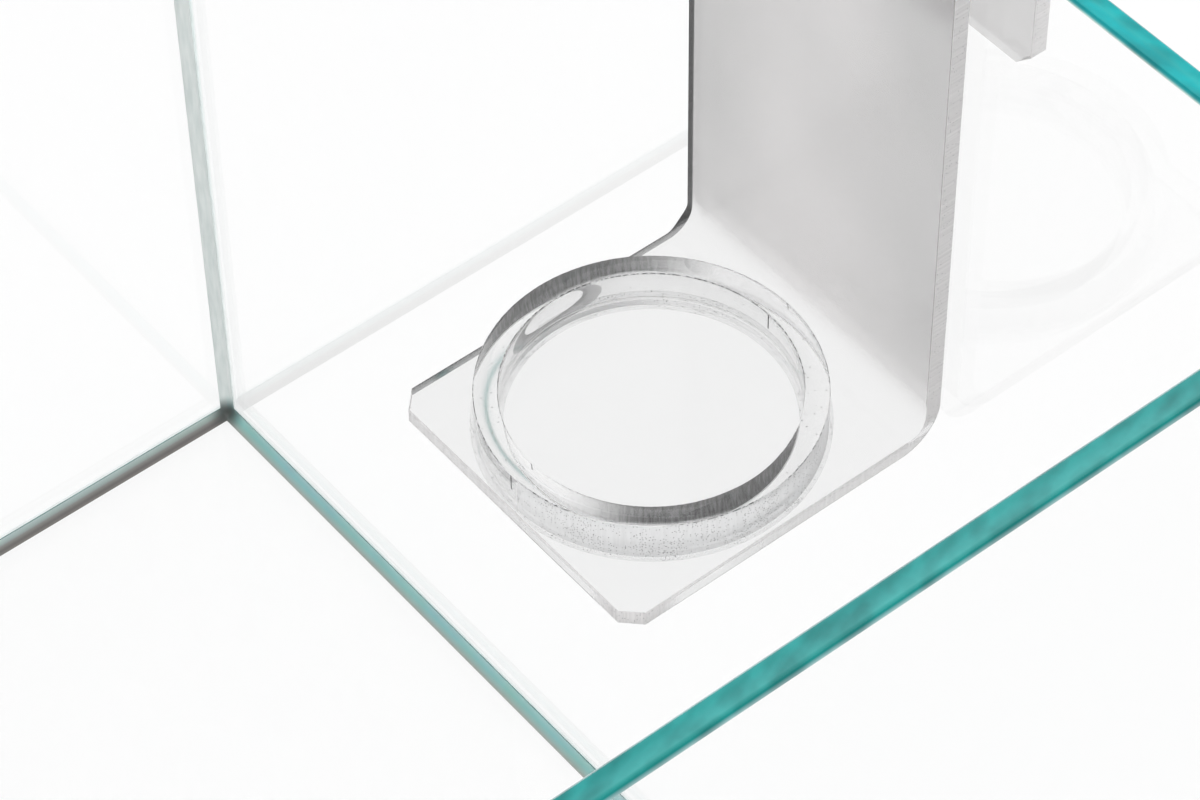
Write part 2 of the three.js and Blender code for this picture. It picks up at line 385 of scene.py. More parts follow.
def striations(tree, parts, pitch):
    """Fine lines across the thickness of the strip, as a laser leaves them, about pitch apart."""
    share = leg_share(tree, parts["Z"])
    run = add(tree, "Mix", {"data_type": "FLOAT"}, {0: share, 2: parts["X"], 3: parts["Z"]})
    flat = add(tree, "CombineXYZ", links={0: run, 1: parts["Y"]})
    return add(tree, "TexNoise", {"Scale": 1.0 / pitch, "Detail": 1.0, "Roughness": 0.7}, {0: flat})


def soot_specks(tree, place, size, share):
    """1 on specks of soot about 0.25 mm across, in that share of the cells of a 0.43 mm grid."""
    cells = add(tree, "TexVoronoi", {"Scale": 2300.0}, {0: place})
    small = add(tree, "Math", {"operation": "LESS_THAN", 1: size}, {0: cells.outputs["Distance"]})
    picked = add(tree, "Math", {"operation": "LESS_THAN"}, {0: cells.outputs["Color"]})
    if isinstance(share, float):
        picked.inputs[1].default_value = share
    else:
        tree.links.new(share.outputs[0], picked.inputs[1])
    return add(tree, "Math", {"operation": "MULTIPLY"}, {0: small, 1: picked})


def sawn_acrylic():
    """The laser-cut edge of the acrylic: frosted grey with fine cross lines and specks of soot.

    In from the front free corner the cut runs clear for a way, but stays frosted under its top.
    The far edge is in its own shade and looks much darker through the sheet, most at its top.
    """
    made, tree = new_material("laser_cut_acrylic_edge")
    place, parts = coordinates(tree)
    lines = striations(tree, parts, 0.7 * MM)
    height = add(
        tree, "MapRange", {"From Min": FOOT_TOP - SHEET, "From Max": FOOT_TOP},
        {"Value": parts["Z"]},
    )
    frosted = add(tree, "ValToRGB", {"stops": [(0.3, "#DFDDDD"), (0.7, "#F3F1F1")]}, {0: lines})
    from_corner = add(
        tree, "VectorMath",
        {"operation": "DISTANCE", 1: (strip_low.x, strip_low.y, FOOT_TOP - SHEET / 2)}, {0: place},
    )
    opens = add(
        tree, "MapRange",
        {"interpolation_type": "SMOOTHSTEP", "From Min": 7.0 * MM, "From Max": 14.0 * MM},
        {"Value": from_corner.outputs["Value"]},
    )
    closes = add(
        tree, "MapRange",
        {"interpolation_type": "SMOOTHSTEP", "From Min": 24.0 * MM, "From Max": 52.0 * MM,
         "To Min": 0.9, "To Max": 0.35},
        {"Value": from_corner.outputs["Value"]},
    )
    opened = add(tree, "Math", {"operation": "MULTIPLY"}, {0: opens, 1: closes})
    along_foot = add(
        tree, "Math", {"operation": "LESS_THAN", 1: FOOT_TOP + 0.2 * MM}, {0: parts["Z"]}
    )
    cleared = add(tree, "Math", {"operation": "MULTIPLY"}, {0: opened, 1: along_foot})
    behind = add(
        tree, "Math", {"operation": "GREATER_THAN", 1: strip_high.y - 0.2 * MM}, {0: parts["Y"]}
    )
    shadow = [
        (0.0, "#A8A8A9"), (0.25, "#8E8E8F"), (0.45, "#727273"), (0.70, "#545455"), (1.0, "#464647")
    ]
    far_foot = add(tree, "ValToRGB", {"stops": shadow}, {0: height})
    far_lines = add(tree, "ValToRGB", {"stops": [(0.3, "#4E4E4F"), (0.7, "#6C6C6D")]}, {0: lines})
    share = leg_share(tree, parts["Z"])
    far = add(tree, "Mix", {"data_type": "RGBA"}, {0: share, 6: far_foot, 7: far_lines})
    tone = add(tree, "Mix", {"data_type": "RGBA"}, {0: behind, 6: frosted, 7: far.outputs[2]})
    dot = soot_specks(tree, place, 0.28, 0.33)
    specked = add(
        tree, "Mix", {"data_type": "RGBA", 7: srgb("#A2A2A3")}, {0: dot, 6: tone.outputs[2]}
    )
    cut_lines = add(tree, "Bump", {"Strength": 0.35, "Distance": 0.05 * MM}, {"Height": lines})
    rough = add(tree, "MapRange", {"To Min": 0.35, "To Max": 0.55}, {"Value": lines})
    body = add(
        tree, "BsdfPrincipled", {"IOR": ACRYLIC_IOR},
        {"Base Color": specked.outputs[2], "Roughness": rough, "Normal": cut_lines},
    )
    under_top = add(
        tree, "MapRange",
        {"interpolation_type": "SMOOTHSTEP", "From Min": 0.60, "From Max": 0.85, "To Min": 1.0,
         "To Max": 0.25},
        {"Value": height},
    )
    foot_clear = add(tree, "Math", {"operation": "MULTIPLY"}, {0: cleared, 1: under_top})
    # low in the bend the heat has polished the front edge
    bend_starts = add(
        tree, "MapRange",
        {"interpolation_type": "SMOOTHSTEP", "From Min": FOOT_TOP - 1.5 * MM,
         "From Max": FOOT_TOP + 0.5 * MM, "To Max": 0.8},
        {"Value": parts["Z"]},
    )
    bend_ends = add(
        tree, "MapRange",
        {"interpolation_type": "SMOOTHSTEP", "From Min": FOOT_TOP + 1.0 * MM,
         "From Max": FOOT_TOP + 3.0 * MM, "To Min": 1.0, "To Max": 0.0},
        {"Value": parts["Z"]},
    )
    elbow = add(tree, "Math", {"operation": "MULTIPLY"}, {0: bend_starts, 1: bend_ends})
    past_foot = add(tree, "Math", {"operation": "GREATER_THAN", 1: ring_high.x}, {0: parts["X"]})
    in_front = add(
        tree, "Math", {"operation": "LESS_THAN", 1: strip_low.y + 0.2 * MM}, {0: parts["Y"]}
    )
    front_bend = add(tree, "Math", {"operation": "MULTIPLY"}, {0: past_foot, 1: in_front})
    polished = add(
        tree, "Math", {"operation": "MULTIPLY_ADD"}, {0: elbow, 1: front_bend, 2: foot_clear}
    )
    # the lower end of the short leg lets the light of the floor in
    outside = add(tree, "Math", {"operation": "GREATER_THAN", 1: OUTER}, {0: parts["X"]})
    lowest = add(tree, "Math", {"operation": "LESS_THAN", 1: SHORT_END + 0.3 * MM}, {0: parts["Z"]})
    short_end = add(tree, "Math", {"operation": "MULTIPLY"}, {0: outside, 1: lowest})
    short_clear = add(tree, "Math", {"operation": "MULTIPLY", 1: 0.85}, {0: short_end})
    thin = add(tree, "Math", {"operation": "MAXIMUM"}, {0: polished, 1: short_clear})
    clear = add(tree, "BsdfTransparent", {"Color": srgb("#F8F8F8")})
    both = add(tree, "MixShader", links={0: thin, 1: body, 2: clear})
    add(tree, "OutputMaterial", links={"Surface": both})
    return made


def ring_acrylic():
    """The polished end of the acrylic tube: clear, with the haze of fine circular scratches."""
    made, tree = new_material("polished_acrylic_ring")
    place, _ = coordinates(tree)
    scuff = add(tree, "TexNoise", {"Scale": 240.0, "Detail": 3.0}, {0: place})
    rough = add(
        tree, "MapRange", {"From Min": 0.3, "From Max": 0.7, "To Min": 0.01, "To Max": 0.06},
        {"Value": scuff},
    )
    body = add(
        tree, "BsdfPrincipled",
        {"Base Color": srgb("#FAFAFA"), "IOR": ACRYLIC_IOR, "Transmission Weight": 1.0},
        {"Roughness": rough},
    )
    surface = let_lamps_through(tree, body, "#F8F8F8")
    add(tree, "OutputMaterial", links={"Surface": surface})
    return made


def ring_wall(name, facing, haze, soot):
    """The laser-cut wall of the ring: clear, with upright lines and specks, milky to the front.

    Where it faces the back of the tank and is seen from within at a slant, painted shade darkens
    the lines.
    It faces out at 1 and into the bore at -1; haze is how milky it is, and soot how specked.
    """
    made, tree = new_material(name)
    place, parts = coordinates(tree)
    centred = add(
        tree, "VectorMath", {"operation": "SUBTRACT", 1: (RING_X, RING_Y, 0.0)}, {0: place}
    )
    around = add(tree, "SeparateXYZ", links={0: centred})
    turn = add(
        tree, "Math", {"operation": "ARCTAN2"}, {0: around.outputs["Y"], 1: around.outputs["X"]}
    )
    spread = add(tree, "CombineXYZ", links={0: turn, 1: around.outputs["Z"]})
    squeezed = add(tree, "Mapping", {"Scale": (RING_OUTER, 0.10, 1.0)}, {"Vector": spread})
    lines = add(tree, "TexNoise", {"Scale": 1300.0, "Detail": 2.0, "Roughness": 0.6}, {0: squeezed})
    aim = add(
        tree, "VectorMath",
        {"operation": "DOT_PRODUCT",
         1: (0.14 * facing / RING_OUTER, 0.99 * facing / RING_OUTER, 0.0)},
        {0: centred},
    )
    reach = 1.0 if facing > 0 else 1.0 - RING_WALL / RING_OUTER
    fades, full = (0.45, 0.98) if facing > 0 else (0.35, 0.86)
    # painted shade: the lines are painted dark where the wall faces the back of the tank and is
    # seen at a slant
    shade = add(
        tree, "MapRange",
        {"interpolation_type": "SMOOTHSTEP", "From Min": fades * reach, "From Max": full * reach},
        {"Value": aim.outputs["Value"]},
    )
    slant = add(tree, "LayerWeight", {"Blend": 0.5})
    slanted = add(
        tree, "MapRange", {"interpolation_type": "SMOOTHSTEP", "From Min": 0.34, "From Max": 0.44},
        {"Value": slant.outputs["Facing"]},
    )
    shaded = add(tree, "Math", {"operation": "MULTIPLY"}, {0: shade, 1: slanted})
    light = add(tree, "ValToRGB", {"stops": [(0.3, "#F2F2F3"), (0.7, "#FDFDFE")]}, {0: lines})
    dark = add(tree, "ValToRGB", {"stops": [(0.38, "#161617"), (0.62, "#6E6E6F")]}, {0: lines})
    grey = add(tree, "Mix", {"data_type": "RGBA"}, {0: shaded, 6: light, 7: dark})
    # cement has crept up the foot of the wall and dried grey, thickest at the back of the bore
    crept = add(
        tree, "MapRange",
        {"interpolation_type": "SMOOTHSTEP", "From Min": FOOT_TOP + 1.2 * MM,
         "From Max": FOOT_TOP + 3.4 * MM, "To Min": 0.0 if facing > 0 else 1.0, "To Max": 0.0},
        {"Value": parts["Z"]},
    )
    at_back = add(
        tree, "MapRange",
        {"interpolation_type": "SMOOTHSTEP", "From Min": -0.98 * reach, "From Max": -0.70 * reach,
         "To Min": 1.0, "To Max": 0.0},
        {"Value": aim.outputs["Value"]},
    )
    dried = add(tree, "Math", {"operation": "MULTIPLY"}, {0: crept, 1: at_back})
    greyed = add(
        tree, "Mix", {"data_type": "RGBA", 7: srgb("#A9A9AA")}, {0: dried, 6: grey.outputs[2]}
    )
    # the soot is thick in some places and missing in others
    drift = add(tree, "TexNoise", {"Scale": 95.0, "Detail": 3.0}, {0: place})
    share = add(
        tree, "MapRange", {"From Min": 0.30, "From Max": 0.62, "To Min": 0.0, "To Max": 0.8},
        {"Value": drift},
    )
    to_front = add(
        tree, "MapRange",
        {"From Min": -0.6 * reach, "From Max": 0.3 * reach, "To Min": soot, "To Max": 0.1 * soot},
        {"Value": aim.outputs["Value"]},
    )
    many = add(tree, "Math", {"operation": "MULTIPLY"}, {0: share, 1: to_front})
    dot = soot_specks(tree, place, 0.27, many)
    # the laser went in and came out on one line through the ring
    off_line = add(tree, "Math", {"operation": "ABSOLUTE"}, {0: around.outputs["Y"]})
    line = add(tree, "Math", {"operation": "LESS_THAN", 1: 0.16 * MM}, {0: off_line})
    high = add(
        tree, "Math", {"operation": "GREATER_THAN", 1: ring_high.z - 4.5 * MM}, {0: parts["Z"]}
    )
    witness = add(tree, "Math", {"operation": "MULTIPLY"}, {0: line, 1: high})
    mark = add(tree, "Math", {"operation": "MAXIMUM"}, {0: dot, 1: witness})
    spotted = add(
        tree, "Mix", {"data_type": "RGBA", 7: srgb("#3C3C3C")}, {0: mark, 6: greyed.outputs[2]}
    )
    cut_lines = add(tree, "Bump", {"Strength": 0.3, "Distance": 0.04 * MM}, {"Height": lines})
    frosted = add(
        tree, "BsdfPrincipled", {"Roughness": 0.5, "IOR": ACRYLIC_IOR},
        {"Base Color": spotted.outputs[2], "Normal": cut_lines},
    )
    clear = add(
        tree, "BsdfPrincipled",
        {"Base Color": srgb("#F8F8F8"), "Roughness": 0.03, "IOR": ACRYLIC_IOR,
         "Transmission Weight": 1.0},
    )
    front = add(
        tree, "MapRange",
        {"interpolation_type": "SMOOTHSTEP", "From Min": -0.75 * reach, "From Max": 0.1 * reach,
         "To Min": haze, "To Max": 0.20 * haze},
        {"Value": aim.outputs["Value"]},
    )
    behind = add(tree, "Math", {"operation": "MULTIPLY", 1: 0.92}, {0: shaded})
    # thickest where the cut ran beside the far edge of the foot
    beside_edge = add(
        tree, "MapRange",
        {"interpolation_type": "SMOOTHSTEP", "From Min": 0.90 * reach, "From Max": 0.99 * reach,
         "To Max": 0.16 * haze},
        {"Value": aim.outputs["Value"]},
    )
    milky = add(tree, "Math", {"operation": "ADD"}, {0: front, 1: beside_edge})
    cloudy = add(tree, "Math", {"operation": "MULTIPLY_ADD", 1: 0.42}, {0: dried, 2: milky})
    cover = add(tree, "Math", {"operation": "MAXIMUM"}, {0: cloudy, 1: behind})
    dirty = add(tree, "Math", {"operation": "MAXIMUM"}, {0: cover, 1: mark})
    both = add(tree, "MixShader", links={0: dirty, 1: clear, 2: frosted})
    surface = let_lamps_through(tree, both, "#F0F0F0")
    add(tree, "OutputMaterial", links={"Surface": surface})
    return made


def broken_edge():
    """The broken edges of the acrylic: a fine light line, with runs of dark chips on the ring.

    Along the far side of the strip the line is painted with the shade of the edge behind it.
    """
    made, tree = new_material("broken_acrylic_edge")
    place, parts = coordinates(tree)
    chips = add(tree, "TexNoise", {"Scale": 1500.0, "Detail": 2.0}, {0: place})
    chipped = add(tree, "ValToRGB", {"stops": [(0.42, "#3C3C3D"), (0.60, "#CFCFD0")]}, {0: chips})
    run = add(tree, "TexNoise", {"Scale": 45.0, "Detail": 1.0}, {0: place})
    often = add(tree, "MapRange", {"From Min": 0.36, "From Max": 0.50}, {"Value": run})
    on_top = add(
        tree, "Math", {"operation": "GREATER_THAN", 1: FOOT_TOP + 1.0 * MM}, {0: parts["Z"]}
    )
    short_of_leg = add(
        tree, "Math", {"operation": "LESS_THAN", 1: ring_high.x + 1.0 * MM}, {0: parts["X"]}
    )
    on_ring = add(tree, "Math", {"operation": "MULTIPLY"}, {0: on_top, 1: short_of_leg})
    # the back of the ring is chipped the whole way
    at_back = add(
        tree, "MapRange",
        {"From Min": RING_Y + 0.1 * RING_OUTER, "From Max": RING_Y + 0.5 * RING_OUTER,
         "To Max": 0.9},
        {"Value": parts["Y"]},
    )
    share = add(tree, "Math", {"operation": "MAXIMUM"}, {0: often, 1: at_back})
    where = add(tree, "Math", {"operation": "MULTIPLY"}, {0: share, 1: on_ring})
    edge = add(tree, "Mix", {"data_type": "RGBA", 6: srgb("#F1F1F1")}, {0: where, 7: chipped})
    # one nick in the outer edge, a millimetre long
    turn = math.radians(149)
    nick = (
        RING_X + RING_OUTER * math.cos(turn),
        RING_Y + RING_OUTER * math.sin(turn),
        ring_high.z,
    )
    away = add(tree, "VectorMath", {"operation": "DISTANCE", 1: nick}, {0: place})
    nicked = add(tree, "Math", {"operation": "LESS_THAN", 1: 0.6 * MM}, {0: away.outputs["Value"]})
    # painted shade along the far side of the strip, joined with the nick
    behind = add(
        tree, "Math", {"operation": "GREATER_THAN", 1: strip_high.y - 0.2 * MM}, {0: parts["Y"]}
    )
    darker = add(tree, "Math", {"operation": "MAXIMUM"}, {0: nicked, 1: behind})
    tone = add(
        tree, "Mix", {"data_type": "RGBA", 7: srgb("#38383A")}, {0: darker, 6: edge.outputs[2]}
    )
    rough = add(tree, "MapRange", {"To Min": 0.25, "To Max": 0.5}, {"Value": chips})
    body = add(
        tree, "BsdfPrincipled", {"IOR": ACRYLIC_IOR},
        {"Base Color": tone.outputs[2], "Roughness": rough},
    )
    add(tree, "OutputMaterial", links={"Surface": body})
    return made


def bonded_acrylic():
    """The foot of the ring, which solvent cement has welded: no surface is left, only bubbles."""
    made, tree = new_material("welded_ring_foot")
    place, _ = coordinates(tree)
    clear = add(tree, "BsdfTransparent", {"Color": srgb("#FAFAFA")})
    bubble = add(tree, "BsdfDiffuse", {"Color": srgb("#8A8A8A")})
    cells = add(tree, "TexVoronoi", {"Scale": 900.0}, {0: place})
    dot = add(tree, "Math", {"operation": "LESS_THAN", 1: 0.12}, {0: cells.outputs["Distance"]})
    both = add(tree, "MixShader", links={0: dot, 1: clear, 2: bubble})
    add(tree, "OutputMaterial", links={"Surface": both})
    return made


def dried_cement():
    """Solvent cement that crept out under the ring: glassy and pale, with soot caught in it."""
    made, tree = new_material("dried_acrylic_cement")
    place, _ = coordinates(tree)
    cloud = add(tree, "TexNoise", {"Scale": 260.0, "Detail": 3.0}, {0: place})
    tone = add(tree, "ValToRGB", {"stops": [(0.3, "#E9E9EA"), (0.7, "#F3F3F4")]}, {0: cloud})
    drift = add(tree, "TexNoise", {"Scale": 80.0, "Detail": 2.0}, {0: place})
    share = add(
        tree, "MapRange", {"From Min": 0.44, "From Max": 0.66, "To Min": 0.0, "To Max": 0.6},
        {"Value": drift},
    )
    dot = soot_specks(tree, place, 0.27, share)
    spotted = add(tree, "Mix", {"data_type": "RGBA", 7: srgb("#6C6C6C")}, {0: dot, 6: tone})
    cover = add(tree, "MapRange", {"To Min": 0.10, "To Max": 0.9}, {"Value": dot})
    frosted = add(
        tree, "BsdfPrincipled", {"Roughness": 0.25, "IOR": ACRYLIC_IOR},
        {"Base Color": spotted.outputs[2]},
    )
    clear = add(tree, "BsdfTransparent", {"Color": srgb("#FDFDFD")})
    both = add(tree, "MixShader", links={0: cover, 1: clear, 2: frosted})
    surface = let_lamps_through(tree, both, "#FDFDFD")
    add(tree, "OutputMaterial", links={"Surface": surface})
    return made


# ---------- modelling helpers ----------


def start(primitive, name, **settings):
    """Adds a primitive by itself, named, with its place in its mesh, and edits it."""
    bpy.ops.object.select_all(action="DESELECT")
    primitive(**settings)
    made = bpy.context.object
    made.name = name
    made.data.name = name
    bpy.ops.object.transform_apply(location=True, rotation=True, scale=True)
    bpy.ops.object.mode_set(mode="EDIT")
    return made


def on_all(operator, **settings):
    """Uses an operator on the whole mesh."""
    bpy.ops.mesh.select_all(action="SELECT")
    operator(**settings)


def pick(made, kind, test):
    """Selects only the vertices, edges or faces that pass the test."""
    bpy.ops.mesh.select_mode(type={"verts": "VERT", "edges": "EDGE", "faces": "FACE"}[kind])
    bpy.ops.mesh.select_all(action="DESELECT")
    shape = bmesh.from_edit_mesh(made.data)
    for part in getattr(shape, kind):
        if test(part):
            part.select_set(True)
    shape.select_flush_mode()
    bmesh.update_edit_mesh(made.data)


def take_away(made, test):
    """Deletes the faces that pass the test."""
    pick(made, "faces", test)
    bpy.ops.mesh.delete(type="FACE")


def middle(part):
    """The middle of an edge or a face."""
    return sum((v.co for v in part.verts), Vector()) / len(part.verts)


def finish_shape(made, smooth):
    """Leaves edit mode, and smooths angles under so many degrees."""
    bpy.ops.object.mode_set(mode="OBJECT")
    bpy.ops.object.shade_smooth_by_angle(angle=math.radians(smooth))
    return made


# ---------- the panes ----------


def dress_panes():
    """Gives each pane its looks: faces, polished edges, and the edges that stand in a joint."""
    face = float_glass()
    bonded = bonded_glass()
    # the painted glow of the edges: a darker teal on the front, back and floor edges, a brighter
    # cyan on the side edges
    front_glow_stops = [
        (0.0, "#9CB8B8"), (0.06, "#5C9495"), (0.09, "#0E807C"), (0.17, "#2A8F8B"),
        (0.26, "#469F9C"), (0.50, "#3E9896"), (0.72, "#2F9390"), (0.88, "#339492"),
        (0.93, "#7FB4B4"), (1.0, "#D5E4E4"),
    ]
    side_glow_stops = [
        (0.0, "#2E9FA1"), (0.04, "#00A6AA"), (0.30, "#00A9AB"), (0.48, "#20ADAE"),
        (0.64, "#00AAAE"), (0.82, "#08A4A8"), (0.91, "#0A8C90"), (0.95, "#45A0A3"),
        (0.98, "#A4CAC6"), (1.0, "#D5E2D8"),
    ]
    # each pane's thin axis, and its edge's name, axes across and along, arrises and tones
    edges = {
        "bottom_pane": (2, "floor", "Z", "X", 0.0, FLOOR_TOP, front_glow_stops),
        "front_pane": (1, "front", "Y", "X", -OUTER, -INNER_Y, front_glow_stops),
        "back_pane": (1, "back", "Y", "X", OUTER, INNER_Y, front_glow_stops),
        "left_pane": (0, "left", "X", "Y", -OUTER, -INNER_X, side_glow_stops),
        "right_pane": (0, "right", "X", "Y", OUTER, INNER_X, side_glow_stops),
    }
    for name, (thin, end, *edge) in edges.items():
        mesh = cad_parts[name].data
        mesh.materials.clear()
        for look in (face, glass_edge(f"polished_edge_{end}", *edge), bonded):
            mesh.materials.append(look)
        _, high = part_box(name)
        for polygon in mesh.polygons:
            in_joint = name != "bottom_pane" and polygon.center.z < WALL_FOOT + 1.0 * MM
            if thin == 0 and abs(polygon.center.y) > high.y - 1.0 * MM:
                in_joint = True
            if abs(polygon.normal[thin]) > 0.99:
                polygon.material_index = FACE
            else:
                polygon.material_index = BONDED if in_joint else EDGE


# ---------- the silicone ----------


def box_corner(name):
    """The inside of the tank as a box, grown by the bond, which the beads are made from."""
    top = RIM + 4 * BEAD
    bottom = FLOOR_TOP - BOND
    size = (2 * (INNER_X + BOND), 2 * (INNER_Y + BOND), top - bottom)
    centre = (0, 0, (top + bottom) / 2)
    return start(bpy.ops.mesh.primitive_cube_add, name, size=1.0, location=centre, scale=size)


def silicone_bead():
    """One continuous bead: along the floor and up the four corners, rounded where three meet."""
    width = BEAD + BOND
    big = 0.01  # square metres: a face of the box is larger, and a facet of the bead is smaller
    hollow = box_corner("silicone_bead")
    pick(hollow, "edges", lambda e: middle(e).z < RIM)
    bpy.ops.mesh.bevel(offset=width, segments=8, profile=0.4, affect="EDGES")
    take_away(hollow, lambda f: f.calc_area() > big)
    bpy.ops.object.mode_set(mode="OBJECT")

    back = box_corner("bead_back")
    take_away(back, lambda f: f.normal.z > 0.5)
    on_all(bpy.ops.mesh.inset, thickness=width, use_individual=True)
    take_away(back, lambda f: f.calc_area() > big)
    bpy.ops.object.mode_set(mode="OBJECT")

    hollow.select_set(True)
    back.select_set(True)
    bpy.context.view_layer.objects.active = hollow
    bpy.ops.object.join()
    bpy.ops.object.mode_set(mode="EDIT")
    on_all(bpy.ops.mesh.remove_doubles, threshold=MERGE)
    on_all(bpy.ops.mesh.bisect, plane_co=(0, 0, BEAD_TOP), plane_no=(0, 0, 1), clear_outer=True)
    on_all(bpy.ops.mesh.remove_doubles, threshold=MERGE)
    on_all(bpy.ops.mesh.fill_holes, sides=0)
    on_all(bpy.ops.mesh.normals_make_consistent, inside=False)
    return finish_shape(hollow, 40)


def floor_film():
    """The film that the walls stand in: a flat frame as wide as the glass is thick."""
    made = start(
        bpy.ops.mesh.primitive_plane_add, "silicone_film_floor", size=2 * OUTER,
        location=(0, 0, FLOOR_TOP - BOND),
    )
    bpy.ops.mesh.inset(thickness=OUTER - INNER_X)
    bpy.ops.mesh.delete(type="FACE")
    rise = {"value": (0, 0, FILM + 2 * BOND)}
    on_all(bpy.ops.mesh.extrude_region_move, TRANSFORM_OT_translate=rise)
    on_all(bpy.ops.mesh.normals_make_consistent, inside=False)

    def struck_edge(edge):
        level = abs(edge.verts[0].co.z - edge.verts[1].co.z) < NEAR
        return level and all(max(abs(v.co.x), abs(v.co.y)) > OUTER - NEAR for v in edge.verts)

    pick(made, "edges", struck_edge)
    bpy.ops.mesh.bevel(offset=STRUCK, segments=3, affect="EDGES")
    return finish_shape(made, 40)


def corner_film(name, side_x, side_y):
    """The film between the edge of a side wall and the front or the back, struck off round."""
    height = BEAD_TOP - WALL_FOOT
    x = side_x * (INNER_X + OUTER) / 2
    y = side_y * (INNER_Y - FILM / 2)
    made = start(
        bpy.ops.mesh.primitive_cube_add, name, size=1.0, location=(x, y, WALL_FOOT + height / 2),
        scale=(OUTER - INNER_X, FILM + 2 * BOND, height),
    )

    def struck_edge(edge):
        outside = all(abs(v.co.x) > OUTER - NEAR for v in edge.verts)
        on_top = all(v.co.z > BEAD_TOP - NEAR for v in edge.verts)
        return outside or on_top

    pick(made, "edges", struck_edge)
    bpy.ops.mesh.bevel(offset=STRUCK, segments=3, affect="EDGES")
    return finish_shape(made, 40)


def make_silicone():
    """The tooled bead, the film under the walls and the four films up the corners."""
    bead = silicone_bead()
    bead.data.materials.append(clear_silicone())
    film = floor_film()
    film_look = bonded_film()
    film.data.materials.append(film_look)
    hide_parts(*[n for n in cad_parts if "seam" in n])
    pieces = [bead, film]
    for end, side_y in (("front", -1), ("back", 1)):
        for side, side_x in (("left", -1), ("right", 1)):
            piece = corner_film(f"silicone_film_{end}_{side}", side_x, side_y)
            piece.data.materials.append(film_look)
            pieces.append(piece)
    for piece in pieces:
        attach(piece, "tank")


# ---------- the hanging stand ----------


def bent_strip():
    """One strip, bent by hand: drawn out from the flat foot through its three quarter turns."""
    width = strip_high.y - strip_low.y
    centre = (strip_high.y + strip_low.y) / 2
    under = strip_low.z
    leg_back = INNER_X - LEG_GAP
    hook_under = strip_high.z - SHEET
    foot_turn = (leg_back - SHEET - FOOT_BEND, under + SHEET + FOOT_BEND)
    rim_turn = (leg_back + HOOK_BEND, hook_under - HOOK_BEND)
    outer_turn = (strip_high.x - SHEET - HOOK_BEND, hook_under - HOOK_BEND)
    length = foot_turn[0] - strip_low.x
    made = start(
        bpy.ops.mesh.primitive_cube_add, "acrylic_strip", size=1.0,
        location=(strip_low.x + length / 2, centre, under + SHEET / 2),
        scale=(length, width, SHEET),
    )
    pick(made, "faces", lambda f: f.normal.x > 0.5)

    def turn(x, z, degrees):
        bpy.ops.mesh.spin(
            steps=BEND_STEPS, angle=math.radians(degrees), center=(x, centre, z), axis=(0, 1, 0)
        )

    def push(x, z):
        bpy.ops.mesh.extrude_region_move(TRANSFORM_OT_translate={"value": (x, 0, z)})

    turn(*foot_turn, 90)
    push(0, rim_turn[1] - foot_turn[1])
    turn(*rim_turn, -90)
    push(outer_turn[0] - rim_turn[0], 0)
    turn(*outer_turn, -90)
    push(0, SHORT_END - outer_turn[1])
    on_all(bpy.ops.mesh.remove_doubles, threshold=MERGE)

    def at_free_corner(edge):
        ends = [v.co for v in edge.verts]
        foot = all(c.x < strip_low.x + NEAR for c in ends)
        hook = all(c.z < SHORT_END + NEAR and c.x > OUTER for c in ends)
        across = abs(ends[0].y - ends[1].y) < NEAR
        return across and (foot or hook)

    pick(made, "edges", at_free_corner)
    bpy.ops.mesh.bevel(offset=CORNER_CUT, segments=1, affect="EDGES")
    # a loop close to each bend keeps the flats flat in the shading
    beside = 0.4 * MM
    for x, z, normal in (
        (foot_turn[0] - beside, 0, (1, 0, 0)),
        (0, foot_turn[1] + beside, (0, 0, 1)),
        (0, rim_turn[1] - beside, (0, 0, 1)),
        (rim_turn[0] + beside, 0, (1, 0, 0)),
        (outer_turn[0] - beside, 0, (1, 0, 0)),
    ):
        on_all(bpy.ops.mesh.bisect, plane_co=(x, 0, z), plane_no=normal)
    swell_bend(made, centre, width, foot_turn)
    on_all(bpy.ops.mesh.normals_make_consistent, inside=False)
    bpy.ops.object.mode_set(mode="OBJECT")
    for polygon in made.data.polygons:
        spot, faces = polygon.center, polygon.normal
        side = abs(faces.y) > 0.5
        end = spot.x < strip_low.x + CORNER_CUT and abs(faces.z) < 0.5
        below = spot.x > OUTER and spot.z < SHORT_END + CORNER_CUT and abs(faces.x) < 0.5
        polygon.material_index = CUT_EDGE if side or end or below else SHEET_FACE
    breaks = made.modifiers.new("edge_break", "BEVEL")
    breaks.width = EDGE_BREAK
    breaks.segments = 2
    breaks.limit_method = "ANGLE"
    breaks.angle_limit = math.radians(35)
    breaks.material = BROKEN_EDGE
    bpy.ops.object.modifier_apply(modifier="edge_break")
    return finish_shape(made, 20)


def swell_bend(made, centre, width, turn):
    """The inside of the foot's bend swells past the long edges, and the outside draws in."""
    for step in range(1, BEND_STEPS):
        angle = math.radians(90.0 * step / BEND_STEPS)
        for radius, push in ((FOOT_BEND, SWELL), (FOOT_BEND + SHEET, -0.1 * SWELL)):
            x = turn[0] + radius * math.sin(angle)
            z = turn[1] - radius * math.cos(angle)
            for side in (-1, 1):
                y = centre + side * width / 2
                spot = Vector((x, y, z))
                pick(made, "verts", lambda v: (v.co - spot).length < NEAR / 2)
                shift = side * push * math.sin(2 * angle) ** 2
                bpy.ops.transform.translate(value=(0, shift, 0))


def spin_round(made, **settings):
    """Spins a section round the axis of the ring, joins the ends and takes the caps away."""
    axis = {"center": (RING_X, RING_Y, 0), "axis": (0, 0, 1)}
    on_all(bpy.ops.mesh.spin, steps=ROUND_STEPS, angle=math.tau, **axis, **settings)
    on_all(bpy.ops.mesh.remove_doubles, threshold=MERGE)
    take_away(made, lambda f: len(f.verts) > 4)


